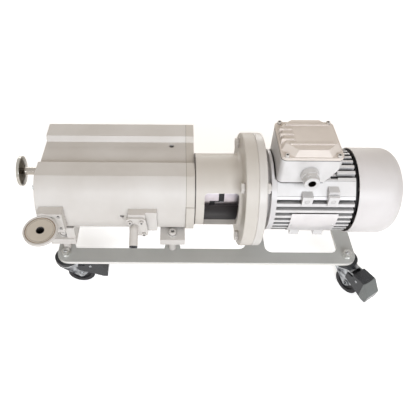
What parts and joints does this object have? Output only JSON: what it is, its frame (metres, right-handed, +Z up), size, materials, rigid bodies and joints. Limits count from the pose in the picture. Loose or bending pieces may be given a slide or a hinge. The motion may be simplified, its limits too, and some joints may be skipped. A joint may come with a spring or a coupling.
{
  "type": "dry claw vacuum pump",
  "caption": "Dry claw vacuum pump: twin-barrel casing driven by a flange motor through a jaw coupling in a windowed lantern, on a plate frame with braked swivel casters.",
  "frame": {"origin": "centre of the footprint's bounding box, on the floor", "axes": "+X along the shaft from the inlet end to the motor fan, +Y away from the side with the exhaust, +Z up"},
  "size_m": [0.6646, 0.2966, 0.3062],
  "materials": {
    "casing_paint": "satin",
    "beige_paint": "satin",
    "post_paint": "satin",
    "bolt_paint": "satin",
    "inner_iron": "machined",
    "screw_steel": "zinc plated",
    "shaft_steel": "ground",
    "gear_steel": "oiled",
    "core_steel": "laminated",
    "black_rubber": "matte",
    "polished_steel": "polished",
    "hub_aluminium": "machined",
    "motor_paint": "satin",
    "motor_aluminium": "painted silver",
    "lid_paint": "satin",
    "fan_plastic": "matte",
    "gland_plastic": "satin",
    "plate_metal": "brushed",
    "frame_paint": "satin",
    "caster_black": "gloss",
    "zinc_steel": "zinc plated",
    "wheel_rubber": "matte",
    "pedal_plastic": "satin",
    "pedal_grey": "satin"
  },
  "bodies": {
    "pump": {"pump_casing": "casing_paint", "end_cover": "casing_paint", "stage_plates": "inner_iron", "bearing_wall": "inner_iron", "drive_end_plate": "casing_paint", "casing_screws": "screw_steel", "pump_bearings": "shaft_steel", "shaft_seal": "black_rubber", "inlet_flange": "polished_steel", "exhaust_manifold": "casing_paint", "exhaust_housing": "casing_paint", "exhaust_disc": "beige_paint", "port_screws": "bolt_paint", "purge_flange": "casing_paint", "purge_tube": "casing_paint", "left_foot": "casing_paint", "right_foot": "casing_paint", "foot_screws": "bolt_paint", "foot_posts": "post_paint", "coupling_lantern": "casing_paint", "flange_bolts": "bolt_paint", "motor_flange_shield": "motor_paint", "motor_frame": "motor_aluminium", "rear_shield": "motor_paint", "stator": "core_steel", "motor_bearings": "shaft_steel", "fan_cowl": "motor_paint", "motor_screws": "screw_steel", "terminal_box": "motor_paint", "box_gasket": "black_rubber", "terminal_lid": "lid_paint", "cable_gland": "gland_plastic", "terminal_board": "fan_plastic", "nameplate": "plate_metal", "base_frame": "frame_paint", "caster_studs": "caster_black"},
    "drive_line": {"motor_shaft": "shaft_steel", "rotor_core": "core_steel", "cooling_fan": "fan_plastic", "motor_hub": "hub_aluminium", "coupling_spider": "black_rubber", "pump_hub": "hub_aluminium", "drive_rotor_shaft": "shaft_steel", "drive_claws": "inner_iron", "drive_timing_gear": "gear_steel"},
    "driven_line": {"driven_rotor_shaft": "shaft_steel", "driven_claws": "inner_iron", "driven_timing_gear": "gear_steel"},
    "front_left_caster": {"front_left_fork": "zinc_steel"},
    "front_left_roller": {"front_left_wheel": "wheel_rubber"},
    "front_left_brake": {"front_left_pedal": "pedal_plastic"},
    "rear_left_caster": {"rear_left_fork": "zinc_steel"},
    "rear_left_roller": {"rear_left_wheel": "wheel_rubber"},
    "rear_left_brake": {"rear_left_pedal": "pedal_plastic"},
    "front_right_caster": {"front_right_fork": "zinc_steel"},
    "front_right_roller": {"front_right_wheel": "wheel_rubber"},
    "front_right_brake": {"front_right_pedal": "pedal_grey"},
    "rear_right_caster": {"rear_right_fork": "zinc_steel"},
    "rear_right_roller": {"rear_right_wheel": "wheel_rubber"},
    "rear_right_brake": {"rear_right_pedal": "pedal_plastic"}
  },
  "joints": [
    {"name": "drive_spin", "type": "hinge", "parent": "pump", "child": "drive_line", "pos_m": [-0.03085, -0.01065, 0.182], "axis": [1, 0, 0], "continuous": true},
    {"name": "driven_spin", "type": "hinge", "parent": "pump", "child": "driven_line", "pos_m": [-0.03085, 0.06435, 0.182], "axis": [1, 0, 0], "continuous": true},
    {"name": "front_left_swivel", "type": "hinge", "parent": "pump", "child": "front_left_caster", "pos_m": [-0.25135, -0.07265, 0.0575], "axis": [0, 0, 1], "continuous": true},
    {"name": "front_left_roll", "type": "hinge", "parent": "front_left_caster", "child": "front_left_roller", "pos_m": [-0.22735, -0.07265, 0.025], "axis": [0, 1, 0], "continuous": true},
    {"name": "front_left_press", "type": "hinge", "parent": "front_left_caster", "child": "front_left_brake", "pos_m": [-0.20735, -0.07265, 0.051], "axis": [0, 1, 0], "range_deg": [0, 15]},
    {"name": "rear_left_swivel", "type": "hinge", "parent": "pump", "child": "rear_left_caster", "pos_m": [-0.25135, 0.12635, 0.0575], "axis": [0, 0, 1], "continuous": true},
    {"name": "rear_left_roll", "type": "hinge", "parent": "rear_left_caster", "child": "rear_left_roller", "pos_m": [-0.22735, 0.12635, 0.025], "axis": [0, 1, 0], "continuous": true},
    {"name": "rear_left_press", "type": "hinge", "parent": "rear_left_caster", "child": "rear_left_brake", "pos_m": [-0.20735, 0.12635, 0.051], "axis": [0, 1, 0], "range_deg": [0, 15]},
    {"name": "front_right_swivel", "type": "hinge", "parent": "pump", "child": "front_right_caster", "pos_m": [0.27165, -0.07265, 0.0575], "axis": [0, 0, 1], "continuous": true},
    {"name": "front_right_roll", "type": "hinge", "parent": "front_right_caster", "child": "front_right_roller", "pos_m": [0.28472, -0.09278, 0.025], "axis": [0.8387, 0.5446, 0], "continuous": true},
    {"name": "front_right_press", "type": "hinge", "parent": "front_right_caster", "child": "front_right_brake", "pos_m": [0.29561, -0.10955, 0.051], "axis": [0.8387, 0.5446, 0], "range_deg": [0, 15]},
    {"name": "rear_right_swivel", "type": "hinge", "parent": "pump", "child": "rear_right_caster", "pos_m": [0.27165, 0.12635, 0.0575], "axis": [0, 0, 1], "continuous": true},
    {"name": "rear_right_roll", "type": "hinge", "parent": "rear_right_caster", "child": "rear_right_roller", "pos_m": [0.24765, 0.12635, 0.025], "axis": [0, -1, 0], "continuous": true},
    {"name": "rear_right_press", "type": "hinge", "parent": "rear_right_caster", "child": "rear_right_brake", "pos_m": [0.22765, 0.12635, 0.051], "axis": [0, -1, 0], "range_deg": [0, 15]}
  ],
  "couplings": [
    {"joint": "driven_spin", "follows": "drive_spin", "ratio": -1}
  ]
}
